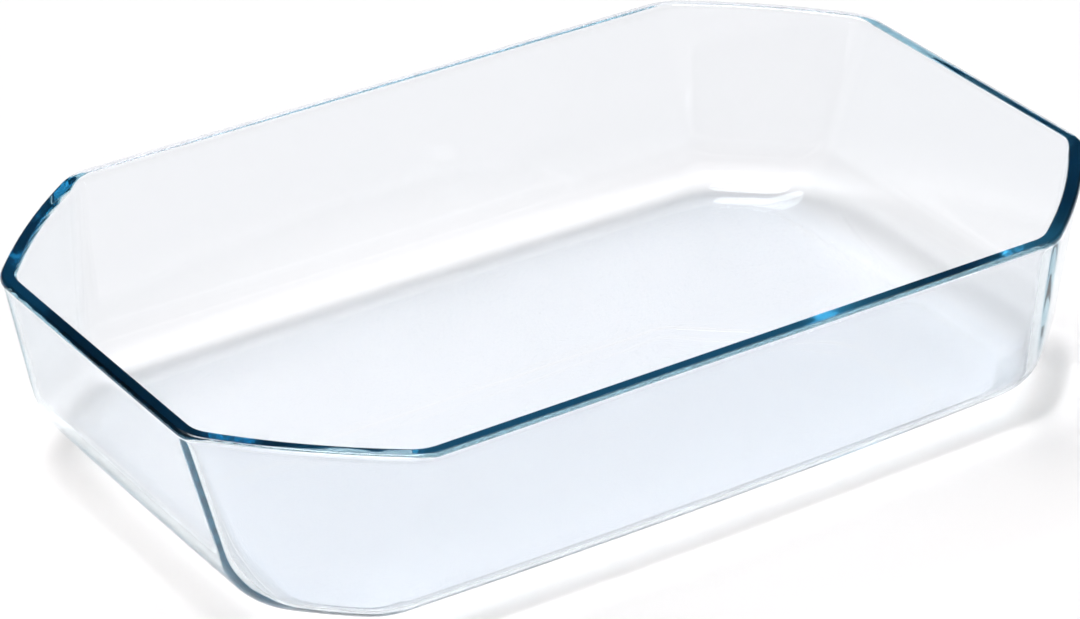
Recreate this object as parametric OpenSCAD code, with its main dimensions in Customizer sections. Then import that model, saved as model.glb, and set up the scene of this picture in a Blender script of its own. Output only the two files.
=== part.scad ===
// Oblong glass baking dish with cut corners, pressed in one piece.
// The long side runs along X, the table is z = 0 and the origin is the middle of the foot.

/* [Rim] */
// Overall length over the rim
rim_length = 330; // [290:1:370]
// Overall width over the rim
rim_width = 208; // [185:1:235]
// Height from the table to the top of the rim
height = 68; // [56:1:84]
// How far each cut corner runs along the length, at the rim
rim_cut_length = 51; // [40:1:60]
// How far each cut corner runs along the width, at the rim
rim_cut_width = 48; // [38:1:58]
// How far the middle of each cut corner bulges outwards, at the rim
rim_cut_bulge = 2.5; // [0.5:0.1:5]
// Radius on the outer and the inner edge of the flat rim
rim_edge_radius = 1.4; // [1:0.1:1.7]
// How far the rim stands out from the wall below it
rim_swell = 0.4; // [0.2:0.1:0.8]

/* [Foot] */
// Length between the end walls where they would meet the table without a rounded foot
foot_length = 299; // [270:1:320]
// Width between the side walls where they would meet the table without a rounded foot
foot_width = 177; // [160:1:195]
// How far each cut corner runs along the length, at the table
foot_cut_length = 28; // [20:1:38]
// How far each cut corner runs along the width, at the table
foot_cut_width = 26; // [20:1:36]
// How far the middle of each cut corner bulges outwards, at the table
foot_cut_bulge = 0.8; // [0.2:0.1:3]
// How far the middle of each long side bulges outwards, at the table
foot_side_bulge = 2.4; // [0:0.1:4]
// How far the middle of each end bulges outwards, at the table
foot_end_bulge = 0.6; // [0:0.1:3]
// Outer radius that turns the end walls into the foot
foot_end_radius = 29; // [18:1:36]
// Outer radius that turns the side walls into the foot
foot_side_radius = 22; // [14:1:30]
// Outer radius that turns the cut corners into the foot
foot_cut_radius = 22; // [14:1:30]
// Inner radius that turns the end walls into the floor
floor_end_radius = 24; // [14:1:30]
// Inner radius that turns the side walls into the floor
floor_side_radius = 12; // [8:1:24]
// Inner radius that turns the cut corners into the floor
floor_cut_radius = 12; // [8:1:24]
// Depth trimmed off the foot to leave one flat standing face
foot_trim = 0.2; // [0.1:0.05:0.6]

/* [Glass] */
// Thickness of the wall, square to its face
wall = 4.6; // [3.6:0.1:6]
// Thickness of the floor
base_thickness = 5; // [4:0.1:7]
// Outer radius of the eight upright corners
corner_radius = 15; // [10:0.5:18]
// Inner radius of the eight upright corners
corner_inner_radius = 10; // [6:0.5:14]

/* [Hidden] */

// The form is drawn with its foot at z = 0 before the trim, then lowered by the depth trimmed off.
edge_height = height + foot_trim - rim_edge_radius;
edge_inset = rim_edge_radius - rim_swell;
straight_height = edge_height - rim_edge_radius;
trim_overrun = wall;
glass_colour = [0.82, 0.91, 0.94];

// How many flats a curve gets
side_steps = 6;
end_steps = 4;
cut_steps = 8;
corner_steps = 6;
edge_steps = 8;
foot_steps = 10;
wall_steps = 3;

// The most of a side that one rounded corner may take
corner_share = 0.42;

// How much tighter, in walls and floors, an inner radius may be than the outer one round it
turn_share = 1.3;

// A direction holds the reach from the middle at the table and at the rim, the outer and the inner radius.
cut_facing_rim = atan2(rim_cut_length, rim_cut_width);
cut_facing_foot = atan2(foot_cut_length, foot_cut_width);
end_way = [foot_length / 2, rim_length / 2, foot_end_radius, floor_end_radius];
side_way = [foot_width / 2, rim_width / 2, foot_side_radius, floor_side_radius];
cut_way = [
    cut_reach(foot_length / 2, foot_width / 2, foot_cut_length, cut_facing_foot),
    cut_reach(rim_length / 2, rim_width / 2, rim_cut_length, cut_facing_rim),
    foot_cut_radius,
    floor_cut_radius
];
ways = [end_way, side_way, cut_way];

// Distance from the middle to the flat of a cut corner, square to that flat
function cut_reach(half_length, half_width, cut, facing) =
    (half_length - cut) * cos(facing) + half_width * sin(facing);

// The wall's tilt from upright, which puts its outer face just inside the widest line of the rim
function lean(way) =
    let (run = way[1] - rim_edge_radius - way[0])
    atan2(run, edge_height) + asin(edge_inset / norm([run, edge_height]));

// Half-chord of a circle at a height above or below its centre
function half_chord(radius, rise) = sqrt(max(radius * radius - rise * rise, 0));

// Reach of a wall face that ends in a rounded foot on the level z = ground
function wall_reach(z, foot, radius, ground, tilt) =
    z - ground < radius * (1 - sin(tilt))
        ? foot - radius * tan(45 - tilt / 2) + half_chord(radius, radius - z + ground)
        : foot + (z - ground) * tan(tilt);

// Where the outer face runs into the underside of the rim
function edge_start(way) = lean(way) + acos(edge_inset / rim_edge_radius);

function outer_reach(z, way) =
    z < edge_height - rim_edge_radius * sin(edge_start(way))
        ? wall_reach(z, way[0], way[2], 0, lean(way))
        : way[1] - rim_edge_radius + half_chord(rim_edge_radius, z - edge_height);

// Inner radius of the foot, kept wide enough for the glass between it and the outer one
function floor_radius(way) = max(way[3], way[2] - turn_share * (wall + base_thickness));

// The inner face lies one wall thickness inside the outer one and is tangent to the inner edge.
function inner_foot(way) = way[0] + base_thickness * tan(lean(way)) - wall / cos(lean(way));
function inner_edge(way) =
    inner_foot(way) + (edge_height - base_thickness) * tan(lean(way)) + rim_edge_radius / cos(lean(way));
function inner_reach(z, way) =
    z < edge_height + rim_edge_radius * sin(lean(way))
        ? wall_reach(z, inner_foot(way), floor_radius(way), base_thickness, lean(way))
        : inner_edge(way) - half_chord(rim_edge_radius, z - edge_height);

function blend(low, high, share) = low + (high - low) * share;

// Points along one side of the outline, bulged outwards, from a share of its length to another
function bulged_side(start, end, bulge, steps, first_share, last_share) =
    let (along = end - start, out = [along[1], -along[0]] / norm(along))
    [for (i = [0:steps])
        let (share = blend(first_share, last_share, i / steps))
        start + along * share + out * bulge * 4 * share * (1 - share)];

// Points strictly between two ends of a rounded corner, on a curve drawn towards its tip
function corner_curve(start, tip, end, steps) =
    [for (i = [1:steps - 1])
        let (t = i / steps)
        start * (1 - t) * (1 - t) + tip * 2 * t * (1 - t) + end * t * t];

// One level outline: eight sides with rounded corners between them, anticlockwise from the near side
function outline(half_length, half_width, cut, facing, bulges, radius) =
    let (
        x = (cut - half_width * sin(facing)) / cos(facing),
        y = (cut - half_length * cos(facing)) / sin(facing),
        tips = [
            [-x, -half_width], [x, -half_width], [half_length, -y], [half_length, y],
            [x, half_width], [-x, half_width], [-half_length, y], [-half_length, -y]
        ],
        steps = [side_steps, cut_steps, end_steps, cut_steps],
        shortest = min([for (i = [0:7]) norm(tips[(i + 1) % 8] - tips[i])]),
        setback = min(radius * tan(22.5), corner_share * shortest),
        sides = [for (i = [0:7])
            let (next = tips[(i + 1) % 8], gap = setback / norm(next - tips[i]))
            bulged_side(tips[i], next, bulges[i % 4], steps[i % 4], gap, 1 - gap)]
    )
    [for (i = [0:7])
        let (side = sides[i], after = sides[(i + 1) % 8])
        each concat(side, corner_curve(side[len(side) - 1], tips[(i + 1) % 8], after[0], corner_steps))];

// The outline at a level, with the reach of its three kinds of side
function level_outline(z, reach, radius) =
    let (share = min(max(z / straight_height, 0), 1))
    outline(
        reach[0], reach[1], reach[2],
        blend(cut_facing_foot, cut_facing_rim, share),
        [
            blend(foot_side_bulge, 0, share),
            blend(foot_cut_bulge, rim_cut_bulge, share),
            blend(foot_end_bulge, 0, share),
            blend(foot_cut_bulge, rim_cut_bulge, share)
        ],
        radius
    );

function lifted(spots, z) = [for (p = spots) [p[0], p[1], z]];
function outer_ring(z) =
    lifted(level_outline(z, [for (way = ways) outer_reach(z, way)], corner_radius), z);
function inner_ring(z) =
    lifted(level_outline(z, [for (way = ways) inner_reach(z, way)], corner_inner_radius), z);

// Levels of the rings, up the outside from the foot and down the inside to the floor
foot_radius = max([for (way = ways) way[2]]);
widest_floor_radius = max([for (way = ways) floor_radius(way)]);
foot_turn = 90 - min([for (way = ways) lean(way)]);
edge_turn = max([for (way = ways) edge_start(way)]);
lip_steps = edge_steps - 2;
foot_levels = [for (i = [0:foot_steps]) foot_radius * (1 - cos(foot_turn * i / foot_steps))];
floor_levels = [for (i = [0:foot_steps])
    base_thickness + widest_floor_radius * (1 - cos(foot_turn * i / foot_steps))];
edge_levels = [for (i = [0:edge_steps])
    edge_height + rim_edge_radius * sin(blend(-edge_turn, 90, i / edge_steps))];
lip_levels = [for (i = [0:lip_steps]) edge_height + rim_edge_radius * cos(90 * i / lip_steps)];
outer_wall_levels = [for (i = [1:wall_steps])
    blend(foot_levels[foot_steps], edge_levels[0], i / (wall_steps + 1))];
inner_wall_levels = [for (i = [1:wall_steps])
    blend(edge_height, floor_levels[foot_steps], i / (wall_steps + 1))];

// Skin over closed rings of equal length, with a flat cap at each end
module loft(rings) {
    n = len(rings[0]);
    sides = [for (r = [0:len(rings) - 2], i = [0:n - 1], half = [0, 1])
        let (a = r * n + i, b = r * n + (i + 1) % n)
        half == 0 ? [a, a + n, b + n] : [a, b + n, b]];
    first_cap = [for (i = [0:n - 1]) i];
    last_cap = [for (i = [n - 1:-1:0]) (len(rings) - 1) * n + i];
    polyhedron(points = [for (ring = rings) each ring], faces = concat([first_cap], sides, [last_cap]));
}

module pressed_shell() {
    loft(concat(
        [for (z = foot_levels) outer_ring(z)],
        [for (z = outer_wall_levels) outer_ring(z)],
        [for (z = edge_levels) outer_ring(z)],
        [for (z = lip_levels) inner_ring(z)],
        [for (z = inner_wall_levels) inner_ring(z)],
        [for (i = [foot_steps:-1:0]) inner_ring(floor_levels[i])]
    ));
}

module foot_trimmer() {
    translate([-rim_length / 2, -rim_width / 2, -trim_overrun])
        cube([rim_length, rim_width, trim_overrun + foot_trim]);
}

module dish() {
    color(glass_colour)
        translate([0, 0, -foot_trim])
            difference() {
                pressed_shell();
                foot_trimmer();
            }
}

dish();
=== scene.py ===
import math

import bmesh
import bpy
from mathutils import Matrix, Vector


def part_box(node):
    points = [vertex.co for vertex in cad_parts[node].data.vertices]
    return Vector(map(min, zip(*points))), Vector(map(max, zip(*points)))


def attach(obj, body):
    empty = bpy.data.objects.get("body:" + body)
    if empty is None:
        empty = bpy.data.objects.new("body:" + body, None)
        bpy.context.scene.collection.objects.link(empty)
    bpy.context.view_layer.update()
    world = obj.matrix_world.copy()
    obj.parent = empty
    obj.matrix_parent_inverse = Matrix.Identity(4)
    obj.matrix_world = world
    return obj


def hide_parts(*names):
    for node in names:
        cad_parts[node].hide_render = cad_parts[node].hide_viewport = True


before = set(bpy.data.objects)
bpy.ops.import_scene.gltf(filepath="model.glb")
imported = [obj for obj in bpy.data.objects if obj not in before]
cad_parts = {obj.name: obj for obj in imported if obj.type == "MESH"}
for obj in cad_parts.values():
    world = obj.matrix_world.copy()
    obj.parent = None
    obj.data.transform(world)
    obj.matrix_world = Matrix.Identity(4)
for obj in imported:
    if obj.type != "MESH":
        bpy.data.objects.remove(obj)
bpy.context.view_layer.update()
lowCorner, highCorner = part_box("dish")
dishBox = highCorner - lowCorner

# The dish, in metres: its length, width and height come from the frame, the rest are mould sizes
dish = {
    "rimCut": (0.051, 0.048),  # along the length, along the width
    "rimBulge": 0.0025,
    "footSize": (0.299, 0.177),  # where the walls would meet the table
    "footCut": (0.028, 0.026),
    "footBulges": (0.0024, 0.0008, 0.0006),  # side, cut corner, end
    "footRadii": (0.022, 0.022, 0.029),  # side, cut corner, end
    "floorRadii": (0.012, 0.012, 0.024),  # the same inside
    "footTrim": 0.0002,
    "wall": 0.0046,
    "floor": 0.005,
    "rimSwell": 0.0004,
    "rimEdge": 0.0014,  # radius on both edges of the flat rim
    "cornerRadii": (0.015, 0.010),  # outside, inside
    "cornerShare": 0.42,  # the most of a side that one rounded corner may take
    "sideSteps": 8,
    "cutSteps": 8,
    "endSteps": 6,
    "cornerSteps": 6,
    "footSteps": 9,
    "wallSteps": 4,
    "edgeSteps": 8,  # round the outer edge of the rim
    "lipSteps": 6,  # round its inner edge
    "capShares": (0.97, 0.5),
    "smoothLevels": 2,
}


def blend(low, high, share):
    return low + (high - low) * share


def halfChord(radius, rise):
    return math.sqrt(max(radius * radius - rise * rise, 0))


def cutReach(halfSize, cut, facing):  # distance from the middle to the flat of a cut corner
    return (halfSize[0] - cut[0]) * math.cos(facing) + halfSize[1] * math.sin(facing)


rimEdge = dish["rimEdge"]
edgeHeight = dishBox.z + dish["footTrim"] - rimEdge
rimHalf = (dishBox.x / 2, dishBox.y / 2)
footHalf = (dish["footSize"][0] / 2, dish["footSize"][1] / 2)
rimFacing = math.atan2(*dish["rimCut"])
footFacing = math.atan2(*dish["footCut"])


class Way:  # one kind of wall: how far it reaches at each height, its foot and its lean
    def __init__(self, foot, rim, kind):
        self.foot, self.outerEdge = foot, rim - rimEdge
        self.radius, self.floorRadius = dish["footRadii"][kind], dish["floorRadii"][kind]
        run = self.outerEdge - foot
        inset = rimEdge - dish["rimSwell"]
        self.lean = math.atan2(run, edgeHeight) + math.asin(inset / math.hypot(run, edgeHeight))
        self.edgeStart = self.lean + math.acos(inset / rimEdge)
        innerRun = dish["floor"] * math.tan(self.lean)
        self.innerFoot = foot + innerRun - dish["wall"] / math.cos(self.lean)
        innerTop = self.innerFoot + (edgeHeight - dish["floor"]) * math.tan(self.lean)
        self.innerEdge = innerTop + rimEdge / math.cos(self.lean)

    def wallReach(self, z, foot, radius, ground):  # the leaning wall and the round at its foot
        if z - ground < radius * (1 - math.sin(self.lean)):
            centre = foot - radius * math.tan(math.pi / 4 - self.lean / 2)
            return centre + halfChord(radius, radius - z + ground)
        return foot + (z - ground) * math.tan(self.lean)

    def outer(self, z):
        if z < edgeHeight - rimEdge * math.sin(self.edgeStart):
            return self.wallReach(z, self.foot, self.radius, 0)
        return self.outerEdge + halfChord(rimEdge, z - edgeHeight)

    def inner(self, z):
        if z < edgeHeight + rimEdge * math.sin(self.lean):
            return self.wallReach(z, self.innerFoot, self.floorRadius, dish["floor"])
        return self.innerEdge - halfChord(rimEdge, z - edgeHeight)


footReach = cutReach(footHalf, dish["footCut"], footFacing)
rimReach = cutReach(rimHalf, dish["rimCut"], rimFacing)
sideWay = Way(footHalf[1], rimHalf[1], 0)
cutWay = Way(footReach, rimReach, 1)
endWay = Way(footHalf[0], rimHalf[0], 2)
ways = (sideWay, cutWay, endWay)
kinds = (0, 1, 2, 1) * 2  # the way of each of the eight sides, anticlockwise from the near side


def ringSpots(z, inside):  # one level outline, anticlockwise, lowered by the trim
    halfWidth, cut, halfLength = (way.inner(z) if inside else way.outer(z) for way in ways)
    share = min(max(z / (edgeHeight - rimEdge), 0), 1)
    facing = blend(footFacing, rimFacing, share)
    x = (cut - halfWidth * math.sin(facing)) / math.cos(facing)
    y = (cut - halfLength * math.cos(facing)) / math.sin(facing)
    tips = [(-x, -halfWidth), (x, -halfWidth), (halfLength, -y), (halfLength, y)]
    tips = [Vector(tip) for tip in tips + [(-a, -b) for a, b in tips]]
    rimBulges = (0, dish["rimBulge"], 0)
    bulges = [blend(low, high, share) for low, high in zip(dish["footBulges"], rimBulges)]
    steps = (dish["sideSteps"], dish["cutSteps"], dish["endSteps"])
    alongs = [tips[(i + 1) % len(tips)] - tip for i, tip in enumerate(tips)]
    rounding = dish["cornerRadii"][inside] * math.tan(math.pi / len(tips))
    setback = min(rounding, dish["cornerShare"] * min(along.length for along in alongs))
    sides = []
    for tip, along, kind in zip(tips, alongs, kinds):
        out = Vector((along.y, -along.x)).normalized()
        gap = setback / along.length
        shares = [blend(gap, 1 - gap, step / steps[kind]) for step in range(steps[kind] + 1)]
        sides.append([tip + along * s + out * bulges[kind] * 4 * s * (1 - s) for s in shares])
    spots = []
    for i, side in enumerate(sides):
        following = (i + 1) % len(sides)
        start, tip, end = side[-1], tips[following], sides[following][0]
        spots += side
        for step in range(1, dish["cornerSteps"]):
            t = step / dish["cornerSteps"]
            spots.append(start * (1 - t) ** 2 + tip * 2 * t * (1 - t) + end * t * t)
    return [Vector((spot.x, spot.y, z - dish["footTrim"])) for spot in spots]


def ringLevels():  # heights of the rings, up the outside and down the inside, and which side
    footRadius, floorRadius = (max(radii) for radii in (dish["footRadii"], dish["floorRadii"]))
    footTurn = math.pi / 2 - min(way.lean for way in ways)
    edgeTurn = max(way.edgeStart for way in ways)
    footCount, edgeCount, lipCount = dish["footSteps"], dish["edgeSteps"], dish["lipSteps"]
    turns = [1 - math.cos(footTurn * i / footCount) for i in range(footCount + 1)]
    foot = [max(footRadius * turn, dish["footTrim"]) for turn in turns]
    floor = [dish["floor"] + floorRadius * turn for turn in turns]
    edgeTurns = [blend(-edgeTurn, math.pi / 2, i / edgeCount) for i in range(edgeCount + 1)]
    edge = [edgeHeight + rimEdge * math.sin(turn) for turn in edgeTurns]
    lipTurns = [math.pi / 2 * i / lipCount for i in range(lipCount + 1)]
    lip = [edgeHeight + rimEdge * math.cos(turn) for turn in lipTurns]
    wallShares = [i / (dish["wallSteps"] + 1) for i in range(1, dish["wallSteps"] + 1)]
    outerWall = [blend(foot[-1], edge[0], share) for share in wallShares]
    innerWall = [blend(edgeHeight, floor[-1], share) for share in wallShares]
    outside = [(z, False) for z in foot + outerWall + edge]
    return outside + [(z, True) for z in lip + innerWall + floor[::-1]]


def ringEdges(bm, ring):
    return [bm.edges.get((ring[i - 1], ring[i])) for i in range(len(ring))]


def growRing(bm, ring, spots):  # extrudes a ring of vertices to the next level
    grown = bmesh.ops.extrude_edge_only(bm, edges=ringEdges(bm, ring))
    fresh = {v for v in grown["geom"] if isinstance(v, bmesh.types.BMVert)}
    neighbours = [[e.other_vert(v) for e in v.link_edges] for v in ring]
    nextRing = [next(v for v in around if v in fresh) for around in neighbours]
    for vert, spot in zip(nextRing, spots):
        vert.co = spot
    return nextRing


def capRing(bm, ring):  # flat cap, with two rings drawn in so that smoothing keeps its edge
    for share in dish["capShares"]:
        spots = [Vector((v.co.x * share, v.co.y * share, v.co.z)) for v in ring]
        ring = growRing(bm, ring, spots)
    bmesh.ops.contextual_create(bm, geom=ringEdges(bm, ring))


def newPiece(name, bm, material):
    mesh = bpy.data.meshes.new(name)
    bm.to_mesh(mesh)
    bm.free()
    mesh.shade_smooth()
    mesh.materials.append(material)
    piece = bpy.data.objects.new(name, mesh)
    bpy.context.scene.collection.objects.link(piece)
    return piece


def makeDish(material):
    bm = bmesh.new()
    levels = ringLevels()
    spots = ringSpots(*levels[0])
    bmesh.ops.create_circle(bm, cap_ends=False, segments=len(spots), radius=rimHalf[0])
    ring = list(bm.verts)
    for vert, spot in zip(ring, spots):
        vert.co = spot
    foot = ring
    for level in levels[1:]:
        ring = growRing(bm, ring, ringSpots(*level))
    capRing(bm, foot)
    capRing(bm, ring)
    bmesh.ops.recalc_face_normals(bm, faces=bm.faces)
    piece = newPiece("dish_glass", bm, material)
    smooth = piece.modifiers.new("Smooth", "SUBSURF")
    smooth.levels = smooth.render_levels = dish["smoothLevels"]
    print("dish:", len(levels), "rings of", len(spots))
    return piece


class Value:  # a shader socket that takes part in sums
    def __init__(self, tree, socket):
        self.tree, self.socket = tree, socket

    def math(self, operation, *others):
        return self.tree.arithmetic(operation, self, *others)

    def __sub__(self, other):
        return self.tree.arithmetic("SUBTRACT", self, other)

    def __rsub__(self, other):
        return self.tree.arithmetic("SUBTRACT", other, self)

    def __mul__(self, other):
        return self.tree.arithmetic("MULTIPLY", self, other)

    def __truediv__(self, other):
        return self.tree.arithmetic("DIVIDE", self, other)

    def __rtruediv__(self, other):
        return self.tree.arithmetic("DIVIDE", other, self)

    __rmul__ = __mul__


class NodeTree:
    def __init__(self, owner):
        owner.use_nodes = True
        self.tree = owner.node_tree
        self.tree.nodes.clear()

    def add(self, kind, settings=None, inputs=None, output=0):
        node = self.tree.nodes.new(kind)
        for name, setting in (settings or {}).items():
            if name == "stops":
                ramp = node.color_ramp
                while len(ramp.elements) < len(setting):
                    ramp.elements.new(0.5)
                for stop, (place, colour) in zip(ramp.elements, setting):
                    stop.position, stop.color = place, (*colour, 1)
            else:
                setattr(node, name, setting)
        named = inputs if isinstance(inputs, dict) else dict(enumerate(inputs or ()))
        for name, given in named.items():
            if isinstance(given, Value):
                self.tree.links.new(given.socket, node.inputs[name])
            else:
                node.inputs[name].default_value = given
        return Value(self, node.outputs[output]) if node.outputs else node

    def arithmetic(self, operation, *terms):
        return self.add("ShaderNodeMath", {"operation": operation}, terms)


# The glass: how it bends and colours light, and what pressing and use leave on its skin
glass = {
    "ior": 1.474,
    "clearness": (0.95, 0.945, 0.96),  # what one wall lets through, apart from its tint
    "tint": (0.08, 0.51, 0.64),
    "tintDensity": 14.0,
    # Slow waves, drawn out up the wall
    "ripple": {"scale": 26.0, "upright": 0.35, "height": 0.00006, "detail": 1.0},
    # Scuffs where it stands
    "wear": {"scale": 900.0, "start": 0.62, "reach": 0.0012, "roughness": 0.25},
}


def makeGlass():
    material = bpy.data.materials.new("clear_glass")
    nodes = NodeTree(material)
    place = nodes.add("ShaderNodeTexCoord", output="Object")
    z = nodes.add("ShaderNodeSeparateXYZ", {}, (place,), output="Z")

    ripple = glass["ripple"]
    drawOut = {"Vector": place, "Scale": (1, 1, ripple["upright"])}
    drawn = nodes.add("ShaderNodeMapping", {}, drawOut)
    waviness = {"Vector": drawn, "Scale": ripple["scale"], "Detail": ripple["detail"]}
    waves = nodes.add("ShaderNodeTexNoise", {}, waviness)
    skin = nodes.add("ShaderNodeBump", {}, {"Height": waves * ripple["height"], "Distance": 1.0})

    wear = glass["wear"]
    grain = nodes.add("ShaderNodeTexNoise", {}, {"Vector": place, "Scale": wear["scale"]})
    low = (1 - z / wear["reach"]).math("MAXIMUM", 0.0)
    scuffs = grain.math("GREATER_THAN", wear["start"]) * low * wear["roughness"]

    surface = nodes.add("ShaderNodeBsdfPrincipled", {}, {
        "Base Color": (*glass["clearness"], 1),
        "Roughness": scuffs,
        "IOR": glass["ior"],
        "Transmission Weight": 1.0,
        "Normal": skin,
    })
    volume = nodes.add("ShaderNodeVolumeAbsorption", {}, {
        "Color": (*glass["tint"], 1),
        "Density": glass["tintDensity"],
    })
    nodes.add("ShaderNodeOutputMaterial", {}, {"Surface": surface, "Volume": volume})
    print("glass: mixed")
    return material


# The sweep: pale paper with an even glow of its own, and a painted pool of light that glows more
# under the dish
sweep = {
    "halfSize": 4.0,
    "segments": 8,
    "gap": 0.0002,
    "colour": (0.628, 0.612, 0.61),
    "glow": (0.21, 0.21, 0.21),
    # painted pool of light: extra glow painted into the paper under the dish, fading out away
    # from it
    "paintedLightPool": {"size": (0.19, 0.13), "edges": (0.6, 1.3), "glow": (0.43, 0.41, 0.395)},
}


def makeSweep():
    material = bpy.data.materials.new("sweep")
    nodes = NodeTree(material)
    paper = nodes.add("ShaderNodeBsdfDiffuse", {}, {"Color": (*sweep["colour"], 1)})
    glow = nodes.add("ShaderNodeEmission", {}, {"Color": (*sweep["glow"], 1)})

    # Painted pool of light: the paper glows more near the middle, under the dish, and fades to
    # the even glow farther out
    paintedLightPool = sweep["paintedLightPool"]
    place = nodes.add("ShaderNodeTexCoord", output="Object")
    squeeze = {"Vector": place, "Scale": (1 / paintedLightPool["size"][0], 1 / paintedLightPool["size"][1], 0)}
    spread = nodes.add("ShaderNodeMapping", {}, squeeze)
    away = nodes.add("ShaderNodeVectorMath", {"operation": "LENGTH"}, (spread,), output="Value")
    inner, outer = paintedLightPool["edges"]
    near = nodes.add("ShaderNodeMapRange", {"interpolation_type": "SMOOTHSTEP"}, {
        "Value": away, "From Min": inner, "From Max": outer, "To Min": 1.0, "To Max": 0.0,
    })
    paintedPoolGlow = nodes.add("ShaderNodeEmission", {}, {"Color": (*paintedLightPool["glow"], 1)})
    evenGlowAndPaintedPool = nodes.add("ShaderNodeMixShader", {}, (near, glow, paintedPoolGlow))
    both = nodes.add("ShaderNodeAddShader", {}, (paper, evenGlowAndPaintedPool))
    nodes.add("ShaderNodeOutputMaterial", {}, {"Surface": both})

    bm = bmesh.new()
    count = sweep["segments"]
    bmesh.ops.create_grid(bm, x_segments=count, y_segments=count, size=sweep["halfSize"])
    bmesh.ops.translate(bm, verts=bm.verts, vec=(0, 0, -sweep["gap"]))
    newPiece("sweep", bm, material)
    print("sweep: laid")


# The studio: a pale band low down, dark walls, a bright ceiling, and round patches of light
studio = {
    "bands": [  # height of a direction, from level at 0 to straight up at 1, and its colour
        (0.0, (0.5, 0.5, 0.5)),
        (0.10, (0.02, 0.025, 0.03)),
        (0.66, (0.02, 0.025, 0.03)),
        (0.74, (0.72, 0.72, 0.72)),
    ],
    "strongLight": {
        "azimuth": 90,
        "elevation": 70,
        "edges": (0.95, 0.965),  # cosines, from where it starts to where it is full
        "colour": (1, 1, 1),
        "strength": 11.6,
    },
    "blueCloth": {
        "azimuth": 56,
        "elevation": 31,
        "edges": (0.88, 0.95),
        "colour": (0, 0.24, 0.56),
        "strength": 0.5,
    },
}


def direction(azimuth, elevation):  # both in degrees
    turn, rise = math.radians(azimuth), math.radians(elevation)
    return math.cos(turn) * math.cos(rise), math.sin(turn) * math.cos(rise), math.sin(rise)


def makeSurroundings():
    world = bpy.data.worlds.new("studio")
    bpy.context.scene.world = world
    nodes = NodeTree(world)
    looking = nodes.add("ShaderNodeTexCoord", output="Generated")
    height = nodes.add("ShaderNodeSeparateXYZ", {}, (looking,), output="Z")
    walls = nodes.add("ShaderNodeValToRGB", {"stops": studio["bands"]}, (height,))
    light = nodes.add("ShaderNodeBackground", {}, {"Color": walls})
    for patch in (studio["strongLight"], studio["blueCloth"]):
        middle = direction(patch["azimuth"], patch["elevation"])
        product = {"operation": "DOT_PRODUCT"}
        towards = nodes.add("ShaderNodeVectorMath", product, (looking, middle), output="Value")
        edge, full = patch["edges"]
        stops = [(edge, (0, 0, 0)), (full, patch["colour"])]
        colour = nodes.add("ShaderNodeValToRGB", {"stops": stops}, (towards,))
        glow = {"Color": colour, "Strength": patch["strength"]}
        shone = nodes.add("ShaderNodeBackground", {}, glow)
        light = nodes.add("ShaderNodeAddShader", {}, (light, shone))
    nodes.add("ShaderNodeOutputWorld", {}, {"Surface": light})
    print("studio: lit")


# The camera, from the outline in the photograph
camera = {
    "azimuth": -33.99,
    "elevation": 29.26,
    "distance": 1.299,
    "target": (-0.0409, -0.0515, 0.068),
    "lens": 146.26,
    "reach": 50,
}


def makeCamera():
    data = bpy.data.cameras.new("camera")
    data.lens = camera["lens"]
    data.clip_end = camera["reach"]
    piece = bpy.data.objects.new("camera", data)
    bpy.context.scene.collection.objects.link(piece)
    back = Vector(direction(camera["azimuth"] - 90, camera["elevation"]))
    piece.location = Vector(camera["target"]) + back * camera["distance"]
    piece.rotation_mode = "QUATERNION"
    piece.rotation_quaternion = (-back).to_track_quat("-Z", "Y")
    bpy.context.scene.camera = piece
    print("camera: placed")


# How the picture is made: clear glass needs many bounces and no blur
look = {
    "view": "Standard",
    "bounces": 128,
    "glossBlur": 0.0,
}


def setLook():
    scene = bpy.context.scene
    scene.view_settings.view_transform = look["view"]
    for kind in ("max_bounces", "transmission_bounces", "glossy_bounces"):
        setattr(scene.cycles, kind, look["bounces"])
    scene.cycles.blur_glossy = look["glossBlur"]
    scene.cycles.use_denoising = True


makeCamera()
dishPiece = makeDish(makeGlass())
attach(dishPiece, "root")
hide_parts("dish")
makeSweep()
makeSurroundings()
setLook()
